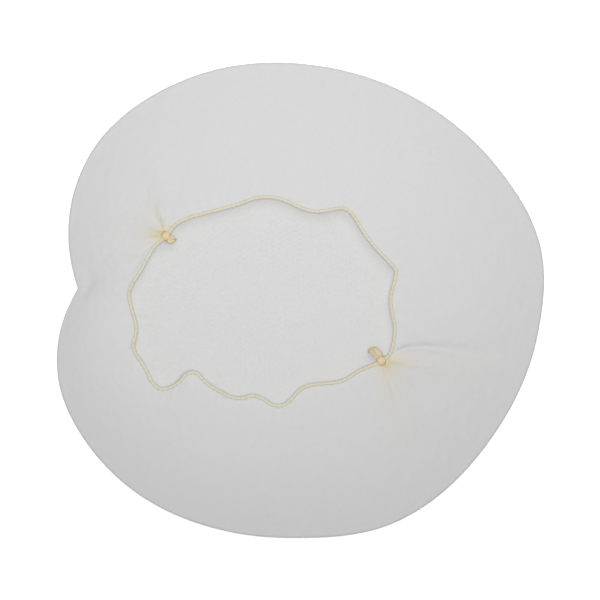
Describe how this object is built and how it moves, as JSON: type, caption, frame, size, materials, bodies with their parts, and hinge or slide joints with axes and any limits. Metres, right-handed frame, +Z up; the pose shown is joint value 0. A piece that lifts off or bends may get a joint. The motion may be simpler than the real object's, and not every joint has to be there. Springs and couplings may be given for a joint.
{
  "type": "hairnet",
  "caption": "Fine mesh hairnet with an elastic edge, lying flat with its opening up; the bunched ends of the net are bound to the elastic.",
  "frame": {"origin": "middle of the object's box, on the surface that it lies on", "axes": "+X to the right along its longest extent as seen from above, +Y away from a viewer in front, +Z up out of the opening"},
  "size_m": [0.2434, 0.2376, 0.0098],
  "materials": {
    "net": "sheer pale blonde mesh of fine synthetic thread, matt",
    "elastic": "cream covered elastic cord, matt",
    "binding": "yellow cream binding thread, matt",
    "tuft": "bunched and cut mesh thread, yellow cream, matt"
  },
  "bodies": {
    "root": {"net": "net", "elastic": "elastic", "binding_left": "binding", "binding_right": "binding", "tuft_left": "tuft", "tuft_right": "tuft"}
  },
  "joints": []
}
